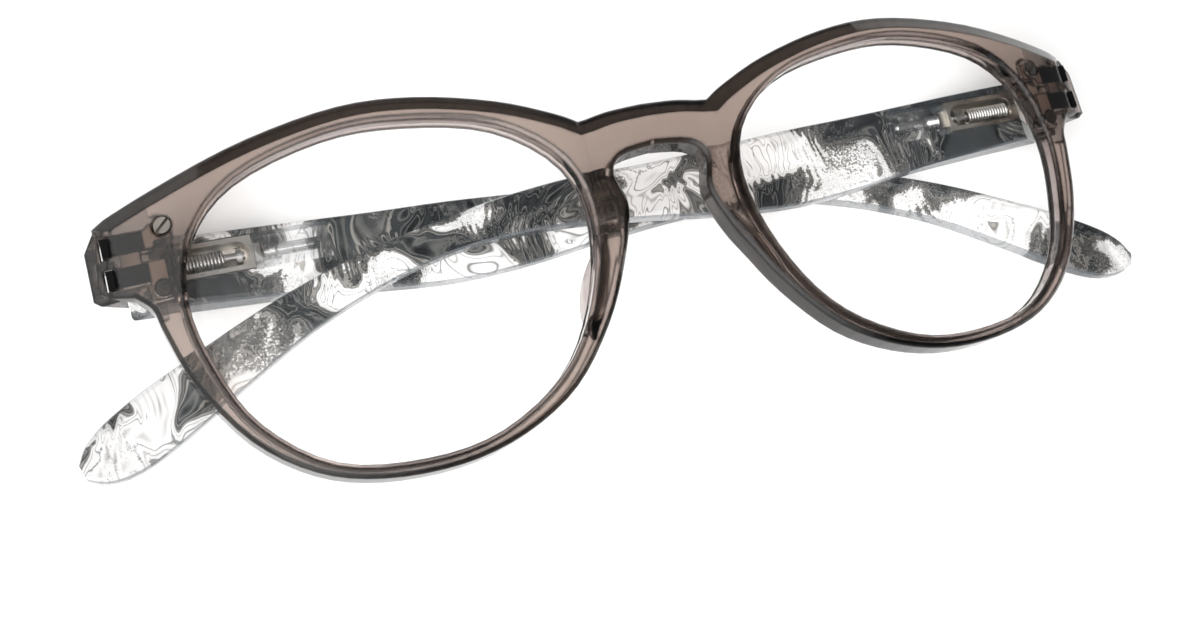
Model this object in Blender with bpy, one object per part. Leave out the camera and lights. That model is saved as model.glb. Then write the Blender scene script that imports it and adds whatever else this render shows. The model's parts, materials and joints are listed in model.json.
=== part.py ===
"""Reading glasses lying folded on their arms, as an assembly of separate pieces.

The pieces are drawn as the glasses are worn: X to the wearer's left, Y backwards, Z up, with the
origin on the middle of the bridge's front face. One empty, lying, then lays the whole assembly
on its arms, with the lenses up. Each hinge has two empties on its screw's axis: seat carries what
stays with the front, and fold carries what turns with the arm. Lengths are in metres.
"""
import math

import bmesh
import bpy
from mathutils import Matrix, Vector

MM = 0.001
DEGREE = math.pi / 180
SIDES = {"left": 1, "right": -1}

# The front, seen from ahead
FRONT_HALF = 67.3 * MM
BROW_RISE = 22.4 * MM
RIM_DROP = 24.0 * MM
BROW_SHARES = (
    (0.130, 0.638), (0.172, 0.714), (0.273, 0.848), (0.416, 0.964),
    (0.554, 1.000), (0.721, 0.933), (0.892, 0.799), (0.991, 0.715),
)
BRIDGE_TOP_SHARES = ((0.000, 0.683), (0.066, 0.673), (0.110, 0.650))
END_SHARES = ((1.015, 0.680), (1.019, 0.322), (1.004, 0.268))
RIM_SHARES = (
    (0.966, 0.233), (0.940, 0.142), (0.929, 0.000), (0.897, -0.292), (0.827, -0.633),
    (0.733, -0.863), (0.624, -0.975), (0.490, -1.000), (0.371, -0.929), (0.263, -0.763),
    (0.177, -0.488), (0.122, -0.217), (0.092, -0.021), (0.080, 0.133), (0.092, 0.300),
    (0.068, 0.392), (0.000, 0.423),
)
FRONT_THICK = 4.4 * MM
BRIDGE_FLAT_SHARE = 0.110
BRIDGE_HALF_FLAT = BRIDGE_FLAT_SHARE * FRONT_HALF
BRIDGE_SET_BACK = 0.4 * MM
CREASE_RUN = 1.6 * MM
FACE_CURVE = 520.0 * MM
WRAP_RUN = 17.3 * MM
WRAP_START = FRONT_HALF - WRAP_RUN
WRAP_CURVE = 139.0 * MM
BAND_FROM_SHARE = 0.58
BAND_LEAST_RISE = 0.2
BAND_WIDTH = 2.1 * MM
BAND_DEPTH = 1.3 * MM
FRONT_EDGE = 0.5 * MM
BACK_EDGE = 0.6 * MM
SLICES = 44
CURVE_STEPS = 4

# The lenses and their grooves
LENS_INNER_SHARE = 0.156
LENS_OUTER_SHARE = 0.878
LENS_TOP_SHARE = 0.8616
LENS_LOW_SHARE = 0.9292
LENS_INNER = LENS_INNER_SHARE * FRONT_HALF
LENS_OUTER = LENS_OUTER_SHARE * FRONT_HALF
LENS_TOP = LENS_TOP_SHARE * BROW_RISE
LENS_LOW = -LENS_LOW_SHARE * RIM_DROP
LENS_A = LENS_OUTER - LENS_INNER
LENS_B = LENS_TOP - LENS_LOW
LENS_X = (LENS_INNER + LENS_OUTER) / 2
LENS_Z = (LENS_TOP + LENS_LOW) / 2
LENS_SHARES = (
    (1.00, 0.20), (0.92, 0.58), (0.67, 0.85), (0.21, 0.99), (-0.20, 0.97), (-0.64, 0.83),
    (-0.94, 0.52), (-1.00, 0.12), (-0.88, -0.35), (-0.66, -0.71), (-0.30, -0.95),
    (0.08, -1.00), (0.49, -0.90), (0.79, -0.59), (0.94, -0.20),
)
GROOVE_AT = 2.7 * MM
GROOVE_HALF = 0.7 * MM
GROOVE_DEEP = 0.9 * MM
LENS_EDGE_HALF = 0.5 * MM
LENS_CROWN = 1.1 * MM
LENS_HOLLOW = 0.5 * MM
LENS_FIT = 0.15 * MM
LENS_RINGS = 5

# Moulded nose pads, one on each nasal rim
PAD_TOP_SHARES = (0.127, -0.010)
PAD_LOW_SHARES = (0.198, -0.530)
PAD_BACK = 3.6 * MM
PAD_ROOT = 1.6 * MM
PAD_HALF = 1.2 * MM
PAD_CREST_SHARE = 0.62
PAD_SPLAY = 0.42
PAD_END_SHARE = 0.02
PAD_SWELL_POWER = 0.6
PAD_STATIONS = 12

# End pieces, which carry the hinges and meet the arms on a slanted joint
HINGE_INSET = 3.2 * MM
HINGE_BACK = 4.97 * MM
HINGE_LEVEL_SHARE = 0.451
HINGE_X = FRONT_HALF - HINGE_INSET
HINGE_Z = HINGE_LEVEL_SHARE * BROW_RISE
MITRE = 4.2 * MM
MITRE_GAP = 0.4 * MM
MITRE_BLEND = 10.0 * MM
MITRE_TRIM = 0.05 * MM
END_OUT = 5.6 * MM
END_LOW = 4.4 * MM
END_HIGH = 5.0 * MM
END_EDGE = 0.6 * MM
END_SHOULDER_IN = 1.7 * MM
END_SHOULDER_DROP = 2.7 * MM
END_START = 6.7 * MM
END_ROOT = 1.6 * MM
END_FACE_OUT = 4.0 * MM
END_FACE_ROOT = 0.9 * MM
HINGE_FLOOR = 1.85 * MM
RECESS_REACH = 8.0 * MM
TONGUE_SLOT_OUT = 4.5 * MM

# Arms: half height and centre line at chosen distances from the hinge
ARM_LENGTH = 138.6 * MM
ARM_RISE = 9.9 * MM
ARM_HALF = 5.45 * MM
ARM_SHARES = (
    (0.000, -0.070, 0.815), (0.072, -0.111, 0.844), (0.144, -0.172, 0.872),
    (0.216, -0.262, 0.954), (0.289, -0.318, 1.000), (0.361, -0.318, 0.890),
    (0.433, -0.283, 0.725), (0.505, -0.242, 0.615), (0.577, -0.278, 0.505),
    (0.649, -0.414, 0.425), (0.722, -0.672, 0.459), (0.794, -1.040, 0.523),
    (0.866, -1.535, 0.633), (0.925, -1.970, 0.715), (0.965, -2.270, 0.670),
    (0.988, -2.410, 0.470), (1.000, -2.470, 0.180),
)
ARM_INSET = 1.8 * MM
ARM_THICK = 4.4 * MM
ARM_THIN = 3.0 * MM
ARM_TIP_THICK = 2.2 * MM
ARM_TAPER_START = 15.0 * MM
ARM_TAPER_END = 26.0 * MM
ARM_EDGE = 0.7 * MM
ARM_STEPS = 3
EDGE_MOST_SHARE = 0.45
EDGE_ROUND_SHARE = 0.3
TIP_FROM_SHARE = 0.9
HINGE_LEAN = 0.3 * DEGREE
FOLD_SLOPES = {"left": -1.68 * DEGREE, "right": 1.46 * DEGREE}

# Hinge: fork on the front, sprung tongue in a housing let into the arm
FIT = 0.15 * MM
LUG_RADIUS = 1.4 * MM
LUG_INNER = 0.95 * MM
LUG_OUTER = 3.3 * MM
LEAF_FRONT = 3.5 * MM
LEAF_THICK = 1.3 * MM
LEAF_SHARES = (
    (-0.96, -1.44), (-0.45, -1.44), (-0.40, -0.82), (0.92, -0.82), (0.92, -0.21), (0.38, -0.21),
    (0.38, 0.21), (0.92, 0.21), (0.92, 0.82), (-0.58, 0.82), (-0.66, 0.96), (-1.28, 0.96), (-1.28, 0.42), (-0.74, 0.42), (-0.68, 0.21), (-0.23, 0.21),
    (-0.23, -0.21), (-0.96, -0.21),
)
LEAF_SPAN = 3.9 * MM
SCREW_RADIUS = 0.6 * MM
SCREW_HEAD_RADIUS = 1.15 * MM
SCREW_HEAD_HIGH = 0.6 * MM
SLOT_WIDE = 0.35 * MM
SLOT_DEEP = 0.3 * MM
STUD_OFFSETS = {"upper": (-3.85 * MM, 2.6 * MM), "lower": (-2.75 * MM, -4.6 * MM)}
STUD_SUNK = {"upper": 0.0 * MM, "lower": 1.3 * MM}
STUD_HEAD_RADIUS = 1.0 * MM
STUD_HEAD_DEEP = 0.6 * MM
STUD_RADIUS = 0.5 * MM
STUD_SLOT_TURN = -40 * DEGREE
TONGUE_HALF = 0.8 * MM
EYE_RADIUS = 1.35 * MM
NECK_SHARES = (
    (-0.28, 0.10), (-0.22, 1.10), (0.00, 1.22), (0.13, 1.17), (0.34, 0.94), (0.42, 0.10),
)
ROD_RADIUS = 0.5 * MM
ROD_INSET = 3.15 * MM
ROD_END = 13.3 * MM
HOUSING_HALF = 2.2 * MM
HOUSING_DEEP = 3.1 * MM
HOUSING_END = 14.3 * MM
HOUSING_EDGE = 0.3 * MM
WINDOW_START = 3.5 * MM
WINDOW_END = 13.9 * MM
WINDOW_HALF = 1.6 * MM
WINDOW_DEEP = 2.75 * MM
TAIL_HALF = 1.2 * MM
TAIL_DEEP = 0.6 * MM
TAIL_END = 15.3 * MM
NUT_RADIUS = 1.15 * MM
NUT_START = 12.2 * MM
NUT_LONG = 0.7 * MM
SPRING_START = 3.9 * MM
SPRING_CURLS = 8
SPRING_PITCH = 0.84 * MM
SPRING_RADIUS = 1.0 * MM
SPRING_WIRE = 0.36 * MM
SPRING_STEPS = 9
PIN_START = 15.5 * MM
PIN_RINGS = 3
PIN_RING_STEP = 0.7 * MM
BARB_START_SHARE = 0.25
PIN_RING_RADIUS = 1.0 * MM
PIN_RADIUS = 0.65 * MM
PIN_END = 22.6 * MM

# How the glasses lie: on the rear arm and the other arm's hinge end, tipped a little by the arms
LYING_HEIGHT = 21.55 * MM
LYING_SHIFT_X = 0.44 * MM
LYING_SHIFT_Y = 1.04 * MM
LYING_TURN = -90 * DEGREE
LYING_TIP = -2.556 * DEGREE
LYING_ROLL = -0.30 * DEGREE
ROUND_STEPS = 24
OVERRUN = 2.0 * MM
SMOOTH_BELOW = 32 * DEGREE


def clear_scene():
    for old in list(bpy.data.objects):
        bpy.data.objects.remove(old)


def through(points, steps, closed=False):
    """A smooth line through the points, with the given number of steps to each span."""
    count = len(points)
    line = []
    for i in range(count if closed else count - 1):
        if closed:
            before, start, end, after = (points[(i + k) % count] for k in (-1, 0, 1, 2))
        else:
            start, end = points[i], points[i + 1]
            before = points[i - 1] if i else start
            after = points[i + 2] if i + 2 < count else end
        for step in range(steps):
            t = step / steps
            line.append(tuple(
                0.5 * (
                    2 * b + (c - a) * t
                    + (2 * a - 5 * b + 4 * c - d) * t * t
                    + (3 * b - a - 3 * c + d) * t * t * t
                )
                for a, b, c, d in zip(before, start, end, after)
            ))
    if not closed:
        line.append(tuple(points[-1]))
    return line


def outward(line):
    """The outward direction at each corner of a closed line that runs clockwise."""
    found = []
    for i, here in enumerate(line):
        back = Vector(here) - Vector(line[i - 1])
        ahead = Vector(line[(i + 1) % len(line)]) - Vector(here)
        back.normalize()
        ahead.normalize()
        mean = back + ahead
        mean.normalize()
        lengthen = 1 / max(mean.dot(ahead), 0.75)
        found.append(Vector((-mean.y, mean.x)) * lengthen)
    return found


def grown(line, by):
    """The closed line moved outwards by one distance, or by one for each of its corners."""
    spread = by if isinstance(by, list) else [by] * len(line)
    return [tuple(Vector(p) + d * s) for p, d, s in zip(line, outward(line), spread)]


def front_depth(x):
    """How far back the front's face lies at this distance from the middle."""
    reach = abs(x)
    curve = max(reach * reach - BRIDGE_HALF_FLAT * BRIDGE_HALF_FLAT, 0) / FACE_CURVE
    wrap = max(reach - WRAP_START, 0) ** 2 / WRAP_CURVE
    crease = (BRIDGE_HALF_FLAT + CREASE_RUN - reach) / CREASE_RUN
    return curve + wrap + BRIDGE_SET_BACK * min(max(crease, 0), 1)


def bent(mesh):
    """Moves a flat front shape back onto the front's curve."""
    for vert in mesh.verts:
        vert.co.y += front_depth(vert.co.x)


def lofted(rings):
    """A closed shape through rings that have the same number of points each."""
    mesh = bmesh.new()
    rows = [[mesh.verts.new(point) for point in ring] for ring in rings]
    for row, after in zip(rows, rows[1:]):
        for i in range(len(row)):
            mesh.faces.new((row[i - 1], row[i], after[i], after[i - 1]))
    mesh.faces.new(rows[0])
    mesh.faces.new(rows[-1])
    bmesh.ops.recalc_face_normals(mesh, faces=mesh.faces)
    return mesh


def plate(line, levels, insets, axis="y"):
    """A closed line given depth: at each level along the axis, the line moved in by its inset."""
    rings = []
    for level, inset in zip(levels, insets):
        ring = grown(line, [-i for i in inset] if isinstance(inset, list) else -inset)
        if axis == "y":
            rings.append([(a, level, b) for a, b in ring])
        elif axis == "z":
            rings.append([(a, b, level) for a, b in ring])
        else:
            rings.append([(level, a, b) for a, b in ring])
    return lofted(rings)


def turned(profile, axis, centre=(0, 0, 0)):
    """A solid of revolution from (distance along the axis, radius) pairs."""
    centre = Vector(centre)
    rings = []
    for along, radius in profile:
        ring = []
        for i in range(ROUND_STEPS):
            angle = math.tau * i / ROUND_STEPS
            a, b = radius * math.cos(angle), radius * math.sin(angle)
            place = {"x": (along, a, b), "y": (a, along, b), "z": (a, b, along)}[axis]
            ring.append(centre + Vector(place))
        rings.append(ring)
    return lofted(rings)


def block(low, high):
    """A box between two corners."""
    mesh = bmesh.new()
    bmesh.ops.create_cube(mesh, size=1)
    low, high = Vector(low), Vector(high)
    middle, size = (low + high) / 2, high - low
    size = Vector([abs(side) for side in size])
    bmesh.ops.transform(mesh, matrix=Matrix.LocRotScale(middle, None, size), verts=mesh.verts)
    return mesh


def made(name, mesh, parent, colour=None, metallic=0.0, roughness=0.3, clear=0.0):
    """Turns a mesh into an object; one without a colour is a helper that only cuts or adds."""
    data = bpy.data.meshes.new(name)
    mesh.to_mesh(data)
    mesh.free()
    data.polygons.foreach_set("use_smooth", [True] * len(data.polygons))
    data.set_sharp_from_angle(angle=SMOOTH_BELOW)
    piece = bpy.data.objects.new(name, data)
    bpy.context.scene.collection.objects.link(piece)
    piece.parent = parent
    if colour is None:
        piece.hide_render = True
        piece.display_type = "WIRE"
        return piece
    piece.data.materials.append(material(name, colour, metallic, roughness, clear))
    return piece


def material(name, colour, metallic, roughness, clear):
    made_of = bpy.data.materials.new(name)
    made_of.use_nodes = True
    shader = made_of.node_tree.nodes["Principled BSDF"]
    shader.inputs["Base Color"].default_value = (*colour, 1)
    shader.inputs["Metallic"].default_value = metallic
    shader.inputs["Roughness"].default_value = roughness
    shader.inputs["Transmission Weight"].default_value = clear
    return made_of


def combine(piece, other, operation):
    step = piece.modifiers.new(other.name, "BOOLEAN")
    step.operation = operation
    step.solver = "EXACT"
    step.object = other


def empty(name, parent, place, turn):
    node = bpy.data.objects.new(name, None)
    bpy.context.scene.collection.objects.link(node)
    node.parent = parent
    node.location = place
    node.rotation_euler = turn
    return node


def on_front(shares):
    """Points of the front from shares of its half width and of its rise or drop."""
    return [(a * FRONT_HALF, b * (BROW_RISE if b > 0 else RIM_DROP)) for a, b in shares]


def front_line():
    """The front's outline, clockwise from the middle of the bridge's top edge."""
    bridge = through(on_front(BRIDGE_TOP_SHARES), CURVE_STEPS)
    brow = through(on_front(BROW_SHARES), CURVE_STEPS)
    ends = on_front(END_SHARES)
    rim = through(on_front(RIM_SHARES), CURVE_STEPS)
    half = bridge + brow + ends + rim
    other = [(-x, z) for x, z in reversed(half[1:-1])]
    return half + other


def make_plate():
    """The flat front with its bevelled edges, cut into narrow strips and bent to its curve."""
    line = front_line()
    directions = outward(line)
    front_in, depths = [], []
    for (x, z), direction in zip(line, directions):
        on_band = z > BAND_FROM_SHARE * BROW_RISE and direction.y > BAND_LEAST_RISE
        front_in.append(BAND_WIDTH if on_band else FRONT_EDGE)
        depths.append(BAND_DEPTH if on_band else FRONT_EDGE)
    face = grown(line, [-inset for inset in front_in])
    back = grown(line, -BACK_EDGE)
    rings = [
        [(x, 0, z) for x, z in face],
        [(x, depth, z) for (x, z), depth in zip(line, depths)],
        [(x, FRONT_THICK - BACK_EDGE, z) for x, z in line],
        [(x, FRONT_THICK, z) for x, z in back],
    ]
    mesh = lofted(rings)
    bmesh.ops.triangulate(mesh, faces=[face for face in mesh.faces if len(face.verts) > 4])
    cuts = [2 * FRONT_HALF * (i / SLICES - 0.5) for i in range(1, SLICES)]
    cuts += [s * x for s in (1, -1) for x in (BRIDGE_HALF_FLAT, BRIDGE_HALF_FLAT + CREASE_RUN)]
    for x in cuts:
        everything = mesh.verts[:] + mesh.edges[:] + mesh.faces[:]
        bmesh.ops.bisect_plane(mesh, geom=everything, plane_co=(x, 0, 0), plane_no=(1, 0, 0))
    bent(mesh)
    return mesh


def lens_line(side):
    """The lens opening's outline, clockwise seen from ahead."""
    points = [
        (side * (LENS_X + a * LENS_A / 2), LENS_Z + b * LENS_B / 2) for a, b in LENS_SHARES
    ]
    line = through(points, CURVE_STEPS, closed=True)
    return line if side < 0 else line[::-1]


def make_opening(side):
    """The cutter for one lens opening: bevelled at both faces, with the groove in its wall."""
    stops = (
        (-OVERRUN, FRONT_EDGE), (0, FRONT_EDGE), (FRONT_EDGE, 0),
        (GROOVE_AT - GROOVE_HALF, 0), (GROOVE_AT, GROOVE_DEEP), (GROOVE_AT + GROOVE_HALF, 0),
        (FRONT_THICK - FRONT_EDGE, 0), (FRONT_THICK, FRONT_EDGE),
        (FRONT_THICK + OVERRUN, FRONT_EDGE),
    )
    mesh = plate(lens_line(side), [d for d, _ in stops], [-grow for _, grow in stops])
    bent(mesh)
    return mesh


def make_lens(side):
    """One lens: two curved faces and a ridge that stands in the groove."""
    line = lens_line(side)
    centre = Vector((side * LENS_X, LENS_Z))
    rim = grown(line, -LENS_FIT)
    ridge = grown(line, GROOVE_DEEP - 2 * LENS_FIT)
    rings = []

    def face_rings(level, bulge):
        faces = []
        for i in range(1, LENS_RINGS + 1):
            share = i / LENS_RINGS
            depth = level - bulge * (1 - share * share)
            points = [centre.lerp(Vector(p), share) for p in rim]
            faces.append([(p.x, depth, p.y) for p in points])
        return faces

    rings += face_rings(GROOVE_AT - LENS_EDGE_HALF, LENS_CROWN)
    rings.append([(x, GROOVE_AT, z) for x, z in ridge])
    rings += face_rings(GROOVE_AT + LENS_EDGE_HALF, LENS_HOLLOW)[::-1]
    mesh = lofted(rings)
    bent(mesh)
    return mesh


def make_pad(side):
    """A nose pad: a rounded fin on the nasal rim that rises towards the back and leans outwards."""
    (start,), (end,) = on_front([PAD_TOP_SHARES]), on_front([PAD_LOW_SHARES])
    start, end = Vector(start), Vector(end)
    along = (end - start).normalized()
    across = Vector((-along.y, along.x))
    rings = []
    for i in range(PAD_STATIONS + 1):
        share = i / PAD_STATIONS
        inside = min(max(share, PAD_END_SHARE), 1 - PAD_END_SHARE)
        swell = math.sin(math.pi * inside) ** PAD_SWELL_POWER
        middle = start.lerp(end, share)
        ring = []
        for k in range(ROUND_STEPS // 2):
            angle = math.tau * k / (ROUND_STEPS // 2)
            rise = 0.5 - 0.5 * math.cos(angle)
            depth = PAD_ROOT + rise * (FRONT_THICK - PAD_ROOT + PAD_BACK * swell)
            half = PAD_HALF * swell * (1 - (1 - PAD_CREST_SHARE) * rise)
            lean = PAD_SPLAY * max(depth - FRONT_THICK, 0)
            point = middle + across * (math.sin(angle) * half + lean)
            ring.append((side * point.x, depth, point.y))
        rings.append(ring)
    mesh = lofted(rings)
    bent(mesh)
    return mesh


def mirrored(mesh, side):
    """A shape made for the left side, turned over for the right one."""
    if side < 0:
        bmesh.ops.transform(mesh, matrix=Matrix.Diagonal((-1, 1, 1, 1)), verts=mesh.verts)
        bmesh.ops.reverse_faces(mesh, faces=mesh.faces)
    return mesh


def make_mitre_cut(side):
    """The wedge behind the slanted joint, which the plate's corner must leave to the arm."""
    back = HINGE_Y + MITRE - MITRE_TRIM
    plan = [
        (HINGE_X, back),
        (HINGE_X + RECESS_REACH, back),
        (HINGE_X + RECESS_REACH, back - RECESS_REACH),
    ]
    levels = (HINGE_Z - RECESS_REACH, HINGE_Z + RECESS_REACH)
    return mirrored(plate(plan, levels, (0, 0), "z"), side)


def make_end(side):
    """An end piece: it wraps back round the hinge and ends on the slanted joint with the arm."""
    start = HINGE_X - END_START
    face = HINGE_X + END_FACE_OUT
    plan = [
        (start, front_depth(start) + END_ROOT),
        (start, front_depth(start) + FRONT_THICK - END_ROOT),
        (HINGE_X, HINGE_Y + MITRE),
        (HINGE_X + END_OUT, HINGE_Y + MITRE - END_OUT),
        (face, front_depth(face) + END_FACE_ROOT),
    ]
    low, high = HINGE_Z - END_LOW, HINGE_Z + END_HIGH
    mesh = plate(plan, (low, low + END_EDGE, high - END_EDGE, high), (END_EDGE, 0, 0, END_EDGE), "z")
    everything = mesh.verts[:] + mesh.edges[:] + mesh.faces[:]
    shoulder = (HINGE_X + END_OUT, 0, high - END_SHOULDER_DROP)
    slant = (END_SHOULDER_DROP, 0, END_SHOULDER_IN)
    bmesh.ops.bisect_plane(
        mesh, geom=everything, plane_co=shoulder, plane_no=slant, clear_outer=True
    )
    bmesh.ops.holes_fill(mesh, edges=[edge for edge in mesh.edges if edge.is_boundary])
    return mirrored(mesh, side)


def make_front(lying):
    """The front in one piece, with its openings, pockets and holes."""
    front = made("front_frame", make_plate(), lying, (0.16, 0.13, 0.12), clear=0.6)
    for name, side in SIDES.items():
        recess = block(
            (side * (HINGE_X - RECESS_REACH), HINGE_Y - HINGE_FLOOR, HINGE_Z - RECESS_REACH),
            (side * (HINGE_X + ARM_INSET), HINGE_Y + RECESS_REACH, HINGE_Z + RECESS_REACH),
        )
        combine(front, made("mitre_cut_" + name, make_mitre_cut(side), lying), "DIFFERENCE")
        combine(front, made("end_block_" + name, make_end(side), lying), "UNION")
        combine(front, made("hinge_recess_" + name, recess, lying), "DIFFERENCE")
        combine(front, made("opening_" + name, make_opening(side), lying), "DIFFERENCE")
        combine(front, made("pad_form_" + name, make_pad(side), lying), "UNION")
        for level in STUD_OFFSETS:
            hole = made("stud_hole_" + level + "_" + name, make_stud(side, level, FIT), lying)
            combine(front, hole, "DIFFERENCE")
    return front


def stud_place(level):
    """Where a stud stands on the left of the front, from the hinge's own place."""
    across, up = STUD_OFFSETS[level]
    return HINGE_X + across, HINGE_Z + up


def make_stud(side, level, clearance=0.0):
    """An anchor stud: a flat head in or under the face and a shank back to the hinge leaf."""
    x, z = stud_place(level)
    floor = HINGE_Y - LEAF_FRONT + LEAF_THICK - front_depth(x)
    sunk = STUD_SUNK[level]
    start = sunk - (clearance if sunk else OVERRUN) if clearance else sunk
    neck = sunk + STUD_HEAD_DEEP + clearance
    profile = (
        (start, STUD_HEAD_RADIUS + clearance),
        (neck, STUD_HEAD_RADIUS + clearance),
        (neck, STUD_RADIUS + clearance),
        (floor + clearance, STUD_RADIUS + clearance),
    )
    mesh = turned(profile, "y", (side * x, 0, z))
    for vert in mesh.verts:
        follows_face = vert.co.y < 2 * STUD_HEAD_DEEP and not sunk
        vert.co.y += front_depth(vert.co.x if follows_face else x)
    return mesh


def screw_slot(name, centre, radius, face, turn, parent, axis):
    """The cutter for a screwdriver slot across a round head."""
    reach = radius * 2
    if axis == "y":
        mesh = block((-reach, -reach, -SLOT_WIDE / 2), (reach, SLOT_DEEP, SLOT_WIDE / 2))
        spin = Matrix.Rotation(turn, 4, "Y")
    else:
        mesh = block((-reach, -SLOT_WIDE / 2, -SLOT_DEEP), (reach, SLOT_WIDE / 2, reach))
        spin = Matrix.Rotation(turn, 4, "Z")
    place = Vector(centre)
    place[1 if axis == "y" else 2] += face
    bmesh.ops.transform(mesh, matrix=Matrix.Translation(place) @ spin, verts=mesh.verts)
    return made(name, mesh, parent)


def leaf_plate(side, clearance, back):
    """The hinge leaf let into the back of the end piece."""
    line = [(side * a * LEAF_SPAN, b * LEAF_SPAN) for a, b in LEAF_SHARES]
    line = line if side < 0 else line[::-1]
    return plate(line, (-LEAF_FRONT - clearance, back), (-clearance, -clearance))


def make_fork(name, side, seat, front):
    """The fork: a leaf sunk in the end piece and two lugs that hold the tongue between them."""
    leaf_back = LEAF_THICK - LEAF_FRONT
    pocket = made("leaf_pocket_" + name, leaf_plate(side, FIT, OVERRUN), seat)
    slot = block(
        (side * LUG_INNER, -LUG_INNER, -LUG_INNER),
        (side * TONGUE_SLOT_OUT, OVERRUN + MITRE, LUG_INNER),
    )
    tongue_slot = made("tongue_slot_" + name, slot, seat)
    combine(front, pocket, "DIFFERENCE")
    combine(front, tongue_slot, "DIFFERENCE")
    fork = made("hinge_fork_" + name, leaf_plate(side, 0, leaf_back), seat, (0.30, 0.29, 0.28), 1.0, 0.35)
    lug_root = leaf_back - LEAF_THICK / 2
    lug_line = [(-LUG_RADIUS, lug_root)]
    for k in range(ROUND_STEPS // 2 + 1):
        angle = math.tau * k / ROUND_STEPS
        lug_line.append((-LUG_RADIUS * math.cos(angle), LUG_RADIUS * math.sin(angle)))
    lug_line.append((LUG_RADIUS, lug_root))
    for label, levels in (("high", (LUG_INNER, LUG_OUTER)), ("low", (-LUG_OUTER, -LUG_INNER))):
        lug = made("lug_" + label + "_" + name, plate(lug_line, levels, (0, 0), "z"), seat)
        combine(fork, lug, "UNION")
    ends = (-LUG_OUTER - OVERRUN, LUG_OUTER + OVERRUN)
    bore = turned([(end, SCREW_RADIUS + FIT) for end in ends], "z")
    combine(fork, made("fork_bore_" + name, bore, seat), "DIFFERENCE")
    for level, (across, up) in STUD_OFFSETS.items():
        centre = (side * across, 0, up)
        ends = (-LEAF_FRONT - OVERRUN, LEAF_THICK + OVERRUN - LEAF_FRONT)
        hole = turned([(end, STUD_RADIUS + FIT) for end in ends], "y", centre)
        combine(fork, made("leaf_hole_" + level + "_" + name, hole, seat), "DIFFERENCE")
    return fork


def make_screw(name, seat):
    """The hinge screw, with its head on the upper lug."""
    head = LUG_OUTER + FIT
    profile = (
        (-LUG_OUTER, SCREW_RADIUS), (head, SCREW_RADIUS),
        (head, SCREW_HEAD_RADIUS), (head + SCREW_HEAD_HIGH, SCREW_HEAD_RADIUS),
    )
    screw = made("hinge_screw_" + name, turned(profile, "z"), seat, (0.55, 0.54, 0.52), 1.0, 0.25)
    slot = screw_slot(
        "screw_slot_" + name, (0, 0, 0), SCREW_HEAD_RADIUS, head + SCREW_HEAD_HIGH, 0, seat, "z"
    )
    combine(screw, slot, "DIFFERENCE")
    return screw


def arm_rows():
    """Along the arm: distance, height and half width, with the direction across the arm."""
    rows = through(
        [(a * ARM_LENGTH, ARM_RISE * b, ARM_HALF * c) for a, b, c in ARM_SHARES], ARM_STEPS
    )
    found = []
    for i, (along, height, half) in enumerate(rows):
        ahead = rows[min(i + 1, len(rows) - 1)]
        back = rows[max(i - 1, 0)]
        run = Vector((ahead[0] - back[0], ahead[1] - back[1])).normalized()
        across = Vector((0, 1)) if along < ARM_TAPER_END else Vector((-run.y, run.x))
        found.append((along, height, half, across))
    return found


def arm_depth(along):
    """The arm's thickness at this distance from the hinge."""
    taper = (along - ARM_TAPER_START) / (ARM_TAPER_END - ARM_TAPER_START)
    thick = ARM_THICK + (ARM_THIN - ARM_THICK) * min(max(taper, 0), 1)
    near_tip = max(along / ARM_LENGTH - TIP_FROM_SHARE, 0) / (1 - TIP_FROM_SHARE)
    return thick + (ARM_TIP_THICK - ARM_THIN) * near_tip * near_tip


def make_arm_form(side):
    """The arm's solid: bevelled sections along its curved centre line, the first on the mitre."""
    rings = []
    for along, height, half, across in arm_rows():
        inner, outer = ARM_INSET, ARM_INSET + arm_depth(along)
        edge = min(ARM_EDGE, half * EDGE_MOST_SHARE)
        rounded = edge * EDGE_ROUND_SHARE
        ring = []
        for turn_n, turn_h in (
            (0, 1), (1, 1), (1, -1), (0, -1),
        ):
            n = outer if turn_n else inner
            into = -1 if turn_n else 1
            first = (n + into * edge, turn_h * half)
            last = (n, turn_h * (half - edge))
            middle = (n + into * rounded, turn_h * (half - rounded))
            trio = [first, middle, last]
            ring += trio if turn_n == (turn_h > 0) else trio[::-1]
        points = []
        for n, h in ring:
            place = Vector((along, height)) + across * h
            place.x += (MITRE + MITRE_GAP - n) * max(1 - along / MITRE_BLEND, 0)
            points.append((-side * place.x, n, place.y))
        rings.append(points)
    return lofted(rings)


def housing_form(side, clearance):
    """The housing's box, cut on the mitre at its front; the pocket is the same with clearance."""
    half = HOUSING_HALF + clearance
    deep = ARM_INSET + HOUSING_DEEP + clearance
    edge = HOUSING_EDGE
    inner = ARM_INSET - (OVERRUN if clearance else 0)
    line = [
        (inner, half), (deep - edge, half), (deep, half - edge),
        (deep, edge - half), (deep - edge, -half), (inner, -half),
    ]
    start = -OVERRUN if clearance else MITRE + MITRE_GAP
    front = [(-side * (start - (0 if clearance else n)), n, h) for n, h in line]
    end = [(-side * (HOUSING_END + clearance), n, h) for n, h in line]
    return lofted([front, end])


def window_form(side):
    """The oblong window with round ends, as deep as the spring's chamber."""
    steps = ROUND_STEPS // 2
    line = []
    for centre, from_angle in ((WINDOW_END - WINDOW_HALF, 90), (WINDOW_START + WINDOW_HALF, -90)):
        for k in range(steps + 1):
            angle = from_angle * DEGREE - math.pi * k / steps
            line.append((-side * (centre + WINDOW_HALF * math.cos(angle)), WINDOW_HALF * math.sin(angle)))
    line = line if side < 0 else line[::-1]
    return plate(line, (ARM_INSET - OVERRUN, ARM_INSET + WINDOW_DEEP), (0, 0))


def along_arm(side, profile):
    """A solid of revolution on the rod's line, from distances along the arm."""
    return turned([(-side * along, radius) for along, radius in profile], "x", (0, ROD_INSET, 0))


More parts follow.
